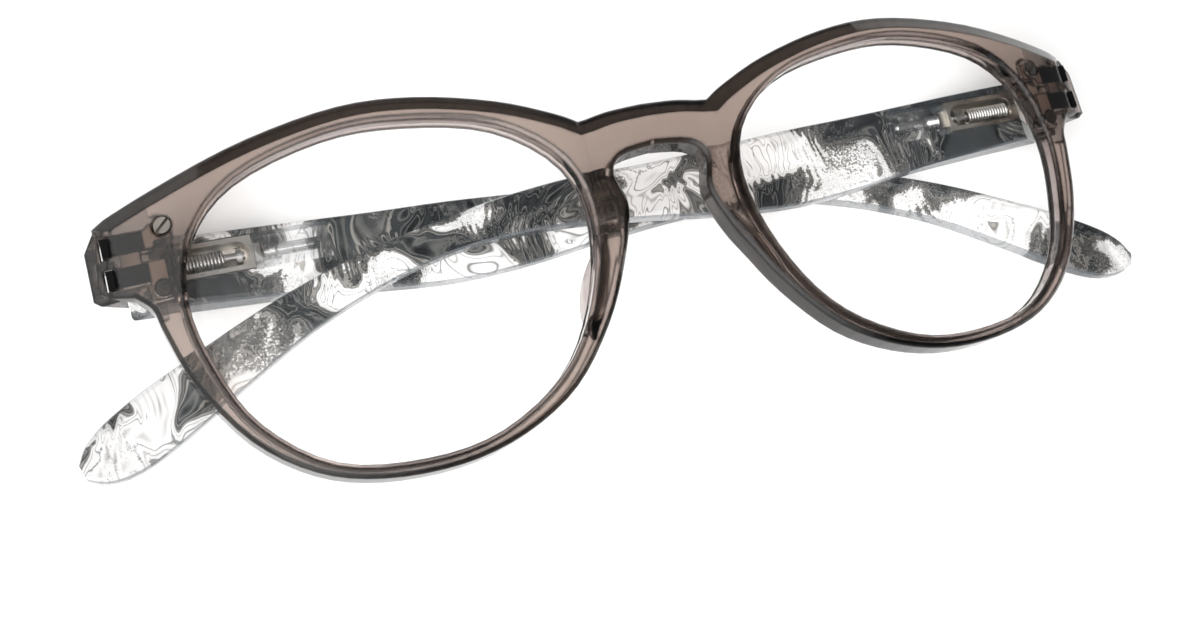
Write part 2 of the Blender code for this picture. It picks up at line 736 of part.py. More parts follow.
def tail_form(side, clearance):
    half, deep = TAIL_HALF + clearance, TAIL_DEEP + clearance
    start = -side * (HOUSING_END - HOUSING_EDGE)
    end = -side * (TAIL_END + clearance)
    return block((start, ROD_INSET - deep, -half), (end, ROD_INSET + deep, half))


def pin_profile(clearance):
    """The core pin: barbed rings, a plain shank and a round tip."""
    if clearance:
        ring_end = PIN_START + PIN_RINGS * PIN_RING_STEP + clearance
        return (
            (PIN_START - OVERRUN, PIN_RING_RADIUS + clearance), (ring_end, PIN_RING_RADIUS + clearance),
            (ring_end, PIN_RADIUS + clearance), (PIN_END + clearance, PIN_RADIUS + clearance),
        )
    profile = [(PIN_START, PIN_RADIUS)]
    for k in range(PIN_RINGS):
        start = PIN_START + (k + BARB_START_SHARE) * PIN_RING_STEP
        profile += [(start, PIN_RING_RADIUS), (start + PIN_RING_STEP / 2, PIN_RADIUS)]
    for k in range(5):
        angle = math.pi / 2 * k / 5
        profile.append(
            (PIN_END - PIN_RADIUS + PIN_RADIUS * math.sin(angle), PIN_RADIUS * math.cos(angle))
        )
    return profile


def make_arm(name, side, fold):
    arm = made("temple_arm_" + name, make_arm_form(side), fold, (0.62, 0.64, 0.68), clear=0.5)
    combine(arm, made("housing_pocket_" + name, housing_form(side, FIT), fold), "DIFFERENCE")
    combine(arm, made("tail_pocket_" + name, tail_form(side, FIT), fold), "DIFFERENCE")
    combine(arm, made("pin_bore_" + name, along_arm(side, pin_profile(FIT)), fold), "DIFFERENCE")
    return arm


def make_housing(name, side, fold):
    housing = made("hinge_housing_" + name, housing_form(side, 0), fold, (0.72, 0.66, 0.58), 1.0, 0.28)
    combine(housing, made("tail_" + name, tail_form(side, 0), fold), "UNION")
    combine(housing, made("window_" + name, window_form(side), fold), "DIFFERENCE")
    bore = along_arm(side, ((-OVERRUN, ROD_RADIUS + FIT), (WINDOW_START + WINDOW_HALF, ROD_RADIUS + FIT)))
    combine(housing, made("rod_bore_" + name, bore, fold), "DIFFERENCE")
    return housing


def make_slide(name, side, fold):
    """The tongue with its eye on the screw and its rod through the spring."""
    eye = turned(((-TONGUE_HALF, EYE_RADIUS), (TONGUE_HALF, EYE_RADIUS)), "z")
    slide = made("hinge_slide_" + name, eye, fold, (0.60, 0.59, 0.57), 1.0, 0.3)
    line = [(-side * a * ROD_INSET, b * ROD_INSET) for a, b in NECK_SHARES]
    line = line[::-1] if side < 0 else line
    neck = plate(line, (-TONGUE_HALF, TONGUE_HALF), (0, 0), "z")
    combine(slide, made("neck_" + name, neck, fold), "UNION")
    rod = along_arm(side, ((0, ROD_RADIUS), (ROD_END, ROD_RADIUS)))
    combine(slide, made("rod_" + name, rod, fold), "UNION")
    bore = turned(((-OVERRUN, SCREW_RADIUS + FIT), (OVERRUN, SCREW_RADIUS + FIT)), "z")
    combine(slide, made("eye_bore_" + name, bore, fold), "DIFFERENCE")
    return slide


def make_nut(name, side, fold):
    """The nut that the spring pushes on, near the rod's end."""
    ends = (NUT_START, NUT_START + NUT_LONG)
    nut = made(
        "spring_nut_" + name, along_arm(side, [(a, NUT_RADIUS) for a in ends]), fold,
        (0.66, 0.60, 0.50), 1.0, 0.3,
    )
    bore = along_arm(side, ((NUT_START - OVERRUN, ROD_RADIUS + FIT), (ROD_END + OVERRUN, ROD_RADIUS + FIT)))
    combine(nut, made("nut_bore_" + name, bore, fold), "DIFFERENCE")
    return nut


def make_spring(name, side, fold):
    """The hinge spring: one unbroken helical tube on the rod's line."""
    count = SPRING_CURLS * SPRING_STEPS + 1
    points = []
    for i in range(count):
        angle = math.tau * i / SPRING_STEPS
        along = SPRING_START + SPRING_PITCH * i / SPRING_STEPS
        points.append(Vector((
            -side * along,
            ROD_INSET + SPRING_RADIUS * math.cos(angle),
            SPRING_RADIUS * math.sin(angle),
        )))
    data = bpy.data.curves.new("hinge_spring_" + name, "CURVE")
    data.dimensions = "3D"
    data.bevel_depth = SPRING_WIRE / 2
    data.bevel_resolution = 1
    data.use_fill_caps = True
    spline = data.splines.new("POLY")
    spline.points.add(count - 1)
    for slot, point in zip(spline.points, points):
        slot.co = (*point, 1)
    spring = bpy.data.objects.new("hinge_spring_" + name, data)
    bpy.context.scene.collection.objects.link(spring)
    spring.parent = fold
    data.materials.append(material(data.name, (0.50, 0.50, 0.51), 1.0, 0.3, 0.0))
    gaps = [
        (p - q).length for i, p in enumerate(points) for q in points[i + SPRING_STEPS - 2:]
    ]
    print(f"{data.name}: least gap to itself {(min(gaps) - SPRING_WIRE) / MM:.2f} mm")
    return spring


def make_side(name, side, lying, front):
    """Everything that belongs to one hinge and its arm."""
    place = (side * HINGE_X, HINGE_Y, HINGE_Z)
    seat = empty("seat_" + name, lying, place, (0, HINGE_LEAN, 0))
    fold = empty("fold_" + name, seat, (0, 0, 0), (0, 0, -side * FOLD_SLOPES[name]))
    make_fork(name, side, seat, front)
    make_screw(name, seat)
    for level in STUD_OFFSETS:
        x, z = stud_place(level)
        tag = level + "_" + name
        stud = made("anchor_stud_" + tag, make_stud(side, level), lying, (0.42, 0.38, 0.33), 1.0, 0.35)
        slot = screw_slot(
            "stud_slot_" + tag, (side * x, front_depth(x), z), STUD_HEAD_RADIUS, STUD_SUNK[level],
            STUD_SLOT_TURN, lying, "y",
        )
        combine(stud, slot, "DIFFERENCE")
    made("lens_" + name, make_lens(side), lying, (0.93, 0.95, 0.95), roughness=0.02, clear=1.0)
    make_arm(name, side, fold)
    make_housing(name, side, fold)
    make_slide(name, side, fold)
    make_nut(name, side, fold)
    make_spring(name, side, fold)
    pin = along_arm(side, pin_profile(0))
    made("core_pin_" + name, pin, fold, (0.75, 0.74, 0.72), 1.0, 0.25)


clear_scene()
HINGE_Y = front_depth(HINGE_X) + HINGE_BACK
LYING_PLACE = (LYING_SHIFT_X, LYING_SHIFT_Y, LYING_HEIGHT)
LYING = empty("lying", None, LYING_PLACE, (LYING_TURN + LYING_TIP, LYING_ROLL, 0))
FRONT = make_front(LYING)
for SIDE_NAME, SIDE in SIDES.items():
    make_side(SIDE_NAME, SIDE, LYING, FRONT)
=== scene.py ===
# %% [markdown]
# # A folded pair of reading glasses
# This notebook dresses a finished CAD model. The solids already have their sizes and places, so
# the work here is light, camera and, above all, materials: smoky translucent plastic, clear
# resin with dark marbling, plain lenses and small metal hinges.
# Everything is in metres. The glasses lie folded on a table at height 0, with the front on top.

import json
import math

import bpy
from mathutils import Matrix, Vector


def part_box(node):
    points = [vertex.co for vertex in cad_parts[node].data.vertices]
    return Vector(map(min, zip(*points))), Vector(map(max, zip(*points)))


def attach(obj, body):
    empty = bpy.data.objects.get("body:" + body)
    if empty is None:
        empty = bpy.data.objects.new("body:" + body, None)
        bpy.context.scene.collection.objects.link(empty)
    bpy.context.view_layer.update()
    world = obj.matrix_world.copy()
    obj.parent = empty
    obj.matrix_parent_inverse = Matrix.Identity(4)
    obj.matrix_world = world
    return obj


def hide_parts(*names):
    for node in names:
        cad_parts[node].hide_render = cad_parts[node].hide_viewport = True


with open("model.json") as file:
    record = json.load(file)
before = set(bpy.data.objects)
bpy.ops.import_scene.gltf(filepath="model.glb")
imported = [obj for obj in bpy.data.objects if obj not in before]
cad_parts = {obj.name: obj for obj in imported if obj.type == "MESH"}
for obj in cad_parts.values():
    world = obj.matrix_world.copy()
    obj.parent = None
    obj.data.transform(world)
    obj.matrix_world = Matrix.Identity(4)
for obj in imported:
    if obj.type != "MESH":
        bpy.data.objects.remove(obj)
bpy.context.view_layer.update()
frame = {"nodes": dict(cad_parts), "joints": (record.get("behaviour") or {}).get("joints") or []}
MM = 0.001
DEGREE = math.pi / 180
SIDES = ("left", "right")

# %% [markdown]
# ## The camera
# A camera could be placed by eye, but then every outline is a little off. These values were
# solved once from a few points of the front's outline, with a plain lens and no shift, and they
# are kept as named numbers. The camera looks down steeply from in front of the bridge.

# %% Place the camera
CAMERA_PLACE = (-64.095 * MM, -36.500 * MM, 192.239 * MM)
CAMERA_TURN = (12.6987 * DEGREE, -14.1181 * DEGREE, -14.9286 * DEGREE)
CAMERA_LENS = 45.0
CAMERA_SENSOR = 36.0

camera_data = bpy.data.cameras.new("camera")
camera_data.lens = CAMERA_LENS
camera_data.sensor_width = CAMERA_SENSOR
camera_data.clip_start = 1 * MM
camera = bpy.data.objects.new("camera", camera_data)
camera.location = CAMERA_PLACE
camera.rotation_euler = CAMERA_TURN
bpy.context.collection.objects.link(camera)
bpy.context.scene.camera = camera
print("camera height in mm:", round(CAMERA_PLACE[2] / MM, 1))

# %% [markdown]
# ## Small helpers for node trees
# Node trees are easier to read when each node is made and wired in one line. `grow` makes a
# node, sets its fields and feeds its sockets: a socket takes either a value or another socket.


# %% Make and feed a node in one call
def feed(tree, socket, value):
    if isinstance(value, bpy.types.NodeSocket):
        tree.links.new(value, socket)
    else:
        socket.default_value = value


def grow(tree, kind, inputs=None, **fields):
    node = tree.nodes.new(kind)
    for name, value in fields.items():
        setattr(node, name, value)
    for key, value in (inputs or {}).items():
        feed(tree, node.inputs[key], value)
    return node


def maths(tree, operation, *values):
    node = grow(tree, "ShaderNodeMath", operation=operation)
    for socket, value in zip(node.inputs, values):
        feed(tree, socket, value)
    return node.outputs["Value"]


print("helpers:", [helper.__name__ for helper in (feed, grow, maths)])

# %% [markdown]
# Which way a face points decides much of its look. Vector Math nodes do that work, and the dot
# product is used most: for two directions of length 1 it is the cosine of their angle.


# %% Work with directions and places
def vector_node(tree, operation, *values):
    node = grow(tree, "ShaderNodeVectorMath", operation=operation)
    for socket, value in zip(node.inputs, values):
        feed(tree, socket, value)
    return node.outputs


def vectors(tree, operation, *values):
    return vector_node(tree, operation, *values)["Vector"]


def aligned(tree, one, other):
    """The cosine of the angle between two directions of length 1."""
    return vector_node(tree, "DOT_PRODUCT", one, other)["Value"]


print("helpers:", [helper.__name__ for helper in (vector_node, vectors, aligned)])

# %% [markdown]
# Masks come from measured values, such as a height or a cosine. Map Range turns such a value
# into a share from 0 to 1, and it also works when the low end is the larger number. Mix then
# finds the colour at that share between two others.


# %% Turn a value into a share, and a share into a colour
def spread(tree, value, low, high, start=0.0, end=1.0):
    node = grow(tree, "ShaderNodeMapRange", {
        "Value": value,
        "From Min": low,
        "From Max": high,
        "To Min": start,
        "To Max": end,
    })
    return node.outputs["Result"]


def blended(tree, share, first, second):
    node = grow(tree, "ShaderNodeMix", data_type="RGBA")
    colours = [socket for socket in node.inputs if socket.type == "RGBA"]
    feed(tree, node.inputs[0], share)
    feed(tree, colours[0], first)
    feed(tree, colours[1], second)
    return next(socket for socket in node.outputs if socket.type == "RGBA")


print("helpers:", [helper.__name__ for helper in (spread, blended)])

# %% [markdown]
# ## Table and light
# The picture is a packshot: a white sweep under one very wide soft light. A curved sweep could
# be modelled, but the camera looks down, so one large flat square is enough.

# %% Lay the table
TABLE_SIZE = 4.0
TABLE_WHITE = (0.93, 0.93, 0.93, 1)
TABLE_ROUGHNESS = 0.9

table_mesh = bpy.data.meshes.new("table")
reach = TABLE_SIZE / 2
corners = [(-reach, -reach, 0), (reach, -reach, 0), (reach, reach, 0), (-reach, reach, 0)]
table_mesh.from_pydata(corners, [], [(0, 1, 2, 3)])
table = bpy.data.objects.new("table", table_mesh)
bpy.context.collection.objects.link(table)
white = bpy.data.materials.new("white_sweep")
white.use_nodes = True
white_shader = white.node_tree.nodes["Principled BSDF"]
white_shader.inputs["Base Color"].default_value = TABLE_WHITE
white_shader.inputs["Roughness"].default_value = TABLE_ROUGHNESS
table_mesh.materials.append(white)
print("table:", TABLE_SIZE, "m across")

# %% [markdown]
# Lamps would leave small hard gleams on the polished plastic, so the world itself is the light.
# It is a broad glow on the near left that has faded out 60 degrees away from its middle.
# Polished faces that mirror the dark rest of the world keep their own colour, and clear plastic
# gets the dark edges that show its form.

# %% Light the world from the near left
SKY_LIGHT = (1.0, 0.995, 0.985, 1)
SKY_DARK = (0.036, 0.037, 0.039, 1)
SKY_STRENGTH = 4.7
KEY_DIRECTION = (-0.72, -0.36, 0.59)
KEY_EDGE = 0.50
KEY_CORE = 1.0

world = bpy.data.worlds.new("studio")
bpy.context.scene.world = world
world.use_nodes = True
sky = world.node_tree
direction = grow(sky, "ShaderNodeTexCoord").outputs["Generated"]
glow = spread(sky, aligned(sky, direction, KEY_DIRECTION), KEY_EDGE, KEY_CORE)
background = sky.nodes["Background"]
feed(sky, background.inputs["Color"], blended(sky, glow, SKY_DARK, SKY_LIGHT))
background.inputs["Strength"].default_value = SKY_STRENGTH
bpy.context.scene.view_settings.view_transform = "Standard"
print("sky strength:", SKY_STRENGTH)

# %% [markdown]
# ## Shared effect: marbled swirl
# The arms are cast from clear resin with white, grey and blue-black paint folded through it.
# A picture of it would repeat and could not be resized, so the swirl is made of noise, in steps:
# fold the places, sort them into fields, comb some of those, speckle some, and give each tone
# its paint.
# It is a node group, because both arms use it with their own values.


# %% Start a node group with named sockets
def start_group(name, inputs, outputs):
    group = bpy.data.node_groups.new(name, "ShaderNodeTree")
    for title, kind, value in inputs:
        socket = group.interface.new_socket(title, in_out="INPUT", socket_type="NodeSocket" + kind)
        if value is not None:
            socket.default_value = value
    for title, kind in outputs:
        group.interface.new_socket(title, in_out="OUTPUT", socket_type="NodeSocket" + kind)
    entry = group.nodes.new("NodeGroupInput").outputs
    leave = group.nodes.new("NodeGroupOutput").inputs
    return group, entry, leave


swirl, swirl_in, swirl_out = start_group(
    "marbled_swirl",
    [("Place", "Vector", None), ("Scale", "Float", 90.0), ("Lift", "Float", 0.0),
     ("Comb", "Float", 0.5), ("Speckle", "Float", 0.5), ("Shift", "Vector", (0, 0, 0))],
    [("Color", "Color")],
)
print("swirl inputs:", [socket.name for socket in swirl_in if socket.name])

# %% [markdown]
# Stirring drags the paint into loops. A noise minus its middle value is a small push in some
# direction, so adding it to the places bends whatever is drawn on them. A wide slow push makes
# the folds, and a short quick one makes the curls along them.

# %% Push the places about
NOISE_MIDDLE = 0.5
FOLDS = {"scale": 55.0, "stir": 21.0 * MM}
CURLS = {"scale": 150.0, "stir": 4.8 * MM}


def noise(tree, place, scale, detail=2.0, rough=0.5, wobble=0.0):
    node = grow(tree, "ShaderNodeTexNoise", {
        "Vector": place,
        "Scale": scale,
        "Detail": detail,
        "Roughness": rough,
        "Distortion": wobble,
    })
    return node.outputs


def pushed(place, scale, stir):
    """The place moved about by a noise of this scale, so that what follows it curls."""
    push = noise(swirl, place, scale, detail=1.0)["Color"]
    centred = vectors(swirl, "SUBTRACT", push, (NOISE_MIDDLE, NOISE_MIDDLE, NOISE_MIDDLE))
    return vectors(swirl, "ADD", place, vectors(swirl, "MULTIPLY", centred, (stir, stir, stir)))


moved = vectors(swirl, "ADD", swirl_in["Place"], swirl_in["Shift"])
folded = pushed(pushed(moved, **FOLDS), **CURLS)
print("stirred over mm, folds and curls:", FOLDS["stir"] / MM, CURLS["stir"] / MM)

# %% [markdown]
# On the pushed places one more noise decides where the resin is pale, grey or dark. The places
# are squeezed along two axes first, so that the fields come out longer that way.

# %% Sort the resin into fields
FIELD_STRETCH = (0.72, 1.0, 0.6)
FIELD_ROUGH = 0.38
FIELD_WOBBLE = 0.5

stretched = vectors(swirl, "MULTIPLY", folded, FIELD_STRETCH)
fields = noise(swirl, stretched, swirl_in["Scale"], rough=FIELD_ROUGH, wobble=FIELD_WOBBLE)["Fac"]
print("field stretch:", FIELD_STRETCH)

# %% [markdown]
# Parts of the marbling look combed, with rows of fine feathers. A wave of bands, a little
# distorted, does that. It comes in only where another noise is high, because feathers
# everywhere would look like wood.

# %% Comb feathers into some of the fields
COMB = {"Scale": 230.0, "Distortion": 3.0, "Detail": 1.0, "Detail Scale": 1.2}
COMBED_SCALE = 130.0
COMBED_FROM = 0.44
COMBED_FULL = 0.60
COMB_DEPTH = 0.085

comb = grow(
    swirl, "ShaderNodeTexWave", {"Vector": folded, **COMB}, wave_type="BANDS", bands_direction="X",
).outputs["Fac"]
feathers = maths(swirl, "MULTIPLY", maths(swirl, "SUBTRACT", comb, NOISE_MIDDLE), swirl_in["Comb"])
combed_places = noise(swirl, moved, COMBED_SCALE, detail=1.0)["Fac"]
combed_share = spread(swirl, combed_places, COMBED_FROM, COMBED_FULL, 0.0, COMB_DEPTH)
tone = maths(swirl, "ADD", fields, maths(swirl, "MULTIPLY", feathers, combed_share))
print("comb depth:", COMB_DEPTH)

# %% [markdown]
# Close up, some fields are grainy, as if the paint had curdled in the resin. A very fine noise
# gives the grains, and a slow one keeps them to some of the fields.

# %% Speckle some of the fields
GRAIN_SCALE = 3200.0
GRAIN_ROUGH = 0.7
GRAINY_SCALE = 85.0
GRAINY_FROM = 0.46
GRAINY_FULL = 0.60

grains = noise(swirl, moved, GRAIN_SCALE, rough=GRAIN_ROUGH)["Fac"]
grainy_share = spread(swirl, noise(swirl, moved, GRAINY_SCALE)["Fac"], GRAINY_FROM, GRAINY_FULL)
grain = maths(swirl, "MULTIPLY", maths(swirl, "SUBTRACT", grains, NOISE_MIDDLE), grainy_share)
tone = maths(swirl, "ADD", tone, maths(swirl, "MULTIPLY", grain, swirl_in["Speckle"]))
tone = maths(swirl, "ADD", tone, swirl_in["Lift"])
print("grain scale:", GRAIN_SCALE)

# %% [markdown]
# A colour ramp turns the tone into paint. Stops that are close together draw a thin vein, and
# two equal stops make an even field, so the marbling's character sits in this one list.

# %% Give each field its paint, with thin veins between them
INK = (0.0055, 0.0065, 0.008, 1)
SLATE = (0.038, 0.042, 0.044, 1)
FOG = (0.125, 0.124, 0.118, 1)
ASH = (0.34, 0.322, 0.30, 1)
MILK = (0.88, 0.875, 0.875, 1)
STOPS = (
    (0.290, SLATE), (0.335, INK), (0.352, FOG), (0.362, SLATE), (0.385, INK), (0.398, SLATE),
    (0.415, FOG), (0.424, SLATE), (0.446, SLATE), (0.454, ASH), (0.463, INK), (0.472, FOG),
    (0.490, SLATE), (0.500, ASH), (0.512, FOG), (0.524, MILK), (0.538, MILK), (0.545, ASH),
    (0.553, MILK), (0.575, MILK), (0.582, FOG), (0.590, MILK), (0.640, MILK), (0.710, ASH),
)

ramp = grow(swirl, "ShaderNodeValToRGB", {"Fac": tone})
ramp_stops = ramp.color_ramp.elements
ramp_stops[0].position, ramp_stops[0].color = STOPS[0]
ramp_stops[1].position, ramp_stops[1].color = STOPS[-1]
for position, colour in STOPS[1:-1]:
    ramp_stops.new(position).color = colour
feed(swirl, swirl_out["Color"], ramp.outputs["Color"])
print("swirl colours:", len(STOPS))

# %% [markdown]
# ## Shared effect: handling marks
# Polished plastic and metal still carry a haze of fine scratches and finger grease. Modelled
# scratches would be far too many, so the group gives a roughness that wanders a little and a
# height for a very shallow bump. Every material takes it with its own strength and scale.

# %% Build the handling marks
SCRATCH_DETAIL = 3.0
SCRATCH_ROUGH = 0.6
SMEAR_SCALE = 70.0

marks, marks_in, marks_out = start_group(
    "handling_marks",
    [("Place", "Vector", None), ("Scale", "Float", 300.0), ("Base", "Float", 0.1),
     ("Spread", "Float", 0.05), ("Drag", "Vector", (1.0, 8.0, 8.0))],
    [("Roughness", "Float"), ("Height", "Float")],
)
dragged = vectors(marks, "MULTIPLY", marks_in["Place"], marks_in["Drag"])
scratches = noise(marks, dragged, marks_in["Scale"], SCRATCH_DETAIL, SCRATCH_ROUGH)["Fac"]
smears = noise(marks, marks_in["Place"], SMEAR_SCALE)["Fac"]
centred = maths(marks, "SUBTRACT", maths(marks, "ADD", scratches, smears), 2 * NOISE_MIDDLE)
wander = maths(marks, "MULTIPLY", centred, marks_in["Spread"])
feed(marks, marks_out["Roughness"], maths(marks, "ADD", wander, marks_in["Base"]))
feed(marks, marks_out["Height"], scratches)
print("smear scale:", SMEAR_SCALE)

# %% [markdown]
# ## Shared effect: painted shade at the walls
# Look through the flat of a tinted piece and it is pale. Look in through its side wall and it is
# nearly black, because the light crosses far more of the dye. The renderer's absorption does
# part of that. This group paints the rest into the colour, as painted shade on the walls: it
# finds the walls by the direction that a face points in on the object itself, and it never asks
# where the camera is.

# %% Build the wall mask
FLAT_ABOVE = 0.96

wall, wall_in, wall_out = start_group(
    "painted_wall_shade",
    [("Normal", "Vector", None), ("Axis", "Vector", (0, 0, 1)), ("Soft", "Float", 0.75),
     ("Face", "Color", (1, 1, 1, 1)), ("Wall", "Color", (0, 0, 0, 1))],
    [("Color", "Color")],
)
flatness = maths(wall, "ABSOLUTE", aligned(wall, wall_in["Normal"], wall_in["Axis"]))
wall_share = spread(wall, flatness, FLAT_ABOVE, wall_in["Soft"])
# Walls get the Wall colour that each material gives: painted shade on the front's outer walls and
# the arms, painted light round the lenses.
feed(wall, wall_out["Color"], blended(wall, wall_share, wall_in["Face"], wall_in["Wall"]))
print("flat above a cosine of", FLAT_ABOVE)

# %% [markdown]
# ## Materials
# Each one is a Principled shader. Its plain numbers, such as transmission and index of
# refraction, sit on its own sockets, and the groups feed only colour, roughness and bump.


# %% Start a material and dress nodes with it
def start_material(name):
    material = bpy.data.materials.new(name)
    material.use_nodes = True
    tree = material.node_tree
    return material, tree, tree.nodes["Principled BSDF"]


def set_plain(shader, **values):
    for name, value in values.items():
        shader.inputs[name.replace("_", " ")].default_value = value


def wear(material, *nodes):
    for name in nodes:
        data = frame["nodes"][name].data
        data.materials.clear()
        data.materials.append(material)


print("materials so far:", len(bpy.data.materials))

# %% [markdown]
# Object coordinates and normals belong to the piece and not to the world. A mask made of them
# stays in its place on the arm when the arm swings.


# %% Read places and normals on the object itself
def place_of(tree):
    return grow(tree, "ShaderNodeTexCoord").outputs["Object"]


def parts_of_place(tree):
    return grow(tree, "ShaderNodeSeparateXYZ", {"Vector": place_of(tree)}).outputs


def normal_of(tree):
    return grow(tree, "ShaderNodeTexCoord").outputs["Normal"]


print("helpers:", [helper.__name__ for helper in (place_of, parts_of_place, normal_of)])

# %% [markdown]
# A node group is used like a ready-made node. The handling marks always go to the same two
# sockets, the roughness and the normal, so they have a helper of their own.


# %% Add a shared effect to a material
def add_group(tree, group, inputs):
    node = grow(tree, "ShaderNodeGroup", node_tree=group)
    for key, value in inputs.items():
        feed(tree, node.inputs[key], value)
    return node.outputs


def add_marks(tree, shader, scale, base, span, depth, drag=(1.0, 8.0, 8.0), normal=None):
    made = add_group(tree, marks, {
        "Place": place_of(tree),
        "Scale": scale,
        "Base": base,
        "Spread": span,
        "Drag": drag,
    })
    bump = grow(tree, "ShaderNodeBump", {"Height": made["Height"], "Distance": depth})
    if normal:
        feed(tree, bump.inputs["Normal"], normal)
    feed(tree, shader.inputs["Roughness"], made["Roughness"])
    feed(tree, shader.inputs["Normal"], bump.outputs["Normal"])


print("shared effects:", [group.name for group in (swirl, marks, wall)])

# %% [markdown]
# ### Shadows of clear pieces
# A clear solid would throw a black shadow, because the renderer's shadow rays don't bend. Real
# caustics are slow and noisy, so shadow rays pass through a thin tint instead.


# %% Let shadow rays through
def let_shadows_through(tree, shader, tint):
    ray = grow(tree, "ShaderNodeLightPath").outputs["Is Shadow Ray"]
    film = grow(tree, "ShaderNodeBsdfTransparent", {"Color": tint})
    choice = grow(tree, "ShaderNodeMixShader")
    feed(tree, choice.inputs[0], ray)
    feed(tree, choice.inputs[1], shader.outputs["BSDF"])
    feed(tree, choice.inputs[2], film.outputs["BSDF"])
    feed(tree, tree.nodes["Material Output"].inputs["Surface"], choice.outputs["Shader"])


print("helper:", let_shadows_through.__name__)

# %% [markdown]
# ### Smoky plastic of the front
# The front is one piece of translucent plastic, grey-brown like weak coffee. It is see-through
# enough for the hinge leaves to show. Absorption in its depth darkens the long ways through it,
# and the wall mask paints shade on the deep outer walls. For that the mask has to know which way
# the flat of the front points, and the front is bowed, so the direction is worked out from its
# curve.

# %% Find the direction of the front's flat
FRONT_LEAN = 0.0446
FACE_CURVE = 0.520
WRAP_CURVE = 0.139
WRAP_START = 0.050


def face_direction(tree):
    """Which way the flat of the front points at each place, from the front's own curve."""
    across = parts_of_place(tree)["X"]
    past = maths(tree, "SUBTRACT", maths(tree, "ABSOLUTE", across), WRAP_START)
    wrap = maths(tree, "MULTIPLY", maths(tree, "MAXIMUM", past, 0.0), maths(tree, "SIGN", across))
    slope = maths(
        tree, "ADD", maths(tree, "MULTIPLY", across, 2 / FACE_CURVE),
        maths(tree, "MULTIPLY", wrap, 2 / WRAP_CURVE),
    )
    line = grow(tree, "ShaderNodeCombineXYZ", {"X": slope, "Y": FRONT_LEAN, "Z": 1.0})
    return vectors(tree, "NORMALIZE", line.outputs["Vector"])


print("wrap starts in mm:", WRAP_START / MM)

# %% [markdown]
# The walls round the lenses are different again. They are low and polished, and the light that
# crosses the lens fills them, so they get painted light and stay pale. They are the walls that
# point to the middle of a lens.


# %% Find the direction to the nearest lens
def toward_lens(tree):
    """The direction from each place to the middle of the lens on its own side."""
    low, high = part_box("lens_left")
    middle = (low + high) / 2
    place = parts_of_place(tree)
    centre = maths(tree, "MULTIPLY", maths(tree, "SIGN", place["X"]), abs(middle.x))
    line = grow(tree, "ShaderNodeCombineXYZ", {
        "X": maths(tree, "SUBTRACT", centre, place["X"]),
        "Y": maths(tree, "SUBTRACT", middle.y, place["Y"]),
    })
    return vectors(tree, "NORMALIZE", line.outputs["Vector"])


print("helper:", toward_lens.__name__)

# %% [markdown]
# The front is tumbled in a drum with wood chips, which rounds every edge. Such an edge bends the
# light so far that it shows as a thin dark line. Rounding the mesh would mean another front, and
# its many small steps at the hinge pockets don't take a bevel well. So the Bevel node rounds the
# normals alone, and where the rounded normal leaves the true one, a thin line of painted shade
# darkens the colour.

# %% Mix the smoky plastic
SMOKE_FACE = (0.76, 0.675, 0.622, 1)
SMOKE_WALL_SHADE = (0.0068, 0.0050, 0.0038, 1)
SMOKE_INNER_PAINTED_LIGHT = (0.66, 0.59, 0.58, 1)
SMOKE_EDGE_SHADE = (0.0016, 0.0013, 0.0012, 1)
SMOKE_DYE = (0.56, 0.49, 0.45, 1)
SMOKE_DENSITY = 330.0
SMOKE_SHADOW = (0.93, 0.92, 0.915, 1)
SMOKE_INDEX = 1.37
SMOKE_WALL_BELOW = 0.90
INNER_FROM = 0.15
INNER_FULL = 0.45
TUMBLED_RADIUS = 0.62 * MM
TUMBLED_SAMPLES = 6
LINE_FROM = 0.992
LINE_FULL = 0.960

smoke, tree, shader = start_material("smoky_acetate")
set_plain(shader, Transmission_Weight=1.0, IOR=SMOKE_INDEX)
normal = normal_of(tree)
# Walls that point to a lens get painted light, pale, in place of the dark wall shade.
inner = spread(tree, aligned(tree, normal, toward_lens(tree)), INNER_FROM, INNER_FULL)
# The outer walls of the front get painted shade, near black.
depth = add_group(tree, wall, {
    "Normal": normal,
    "Axis": face_direction(tree),
    "Soft": SMOKE_WALL_BELOW,
    "Face": SMOKE_FACE,
    "Wall": blended(tree, inner, SMOKE_WALL_SHADE, SMOKE_INNER_PAINTED_LIGHT),
})
tumbled = grow(
    tree, "ShaderNodeBevel", {"Radius": TUMBLED_RADIUS}, samples=TUMBLED_SAMPLES,
).outputs["Normal"]
# A thin line of painted shade where the rounded normal leaves the true one.
turn = maths(tree, "ABSOLUTE", aligned(tree, normal, tumbled))
line = spread(tree, turn, LINE_FROM, LINE_FULL)
feed(tree, shader.inputs["Base Color"], blended(tree, line, depth["Color"], SMOKE_EDGE_SHADE))
add_marks(tree, shader, scale=260.0, base=0.045, span=0.04, depth=0.002 * MM, normal=tumbled)
dye = grow(tree, "ShaderNodeVolumeAbsorption", {"Color": SMOKE_DYE, "Density": SMOKE_DENSITY})
feed(tree, tree.nodes["Material Output"].inputs["Volume"], dye.outputs["Volume"])
let_shadows_through(tree, shader, SMOKE_SHADOW)
wear(smoke, "front_frame")
print("front:", smoke.name)

# %% [markdown]
# ### Lenses
# Plain clear lenses. They show only by their edge and a faint gleam, so they get full
# transmission, hardly any tint and almost no roughness. The mesh has small flats, and seen from
# low down each of them would mirror its own patch of the world, in rings. A finer mesh would
# help, but a smooth normal does it at once. It borrows the front's curve, which lies close to
# the lens's own.

# %% Mix the lens
LENS_TINT = (0.985, 0.99, 0.99, 1)
LENS_SHADOW = (0.97, 0.97, 0.97, 1)
LENS_INDEX = 1.25


def ground_normal(tree):
    """The direction of a smooth lens face, turned round on the faces at the back."""
    curve = face_direction(tree)
    side = maths(tree, "SIGN", aligned(tree, normal_of(tree), curve))
    turned = grow(tree, "ShaderNodeVectorMath", {"Vector": curve, "Scale": side}, operation="SCALE")
    return turned.outputs["Vector"]


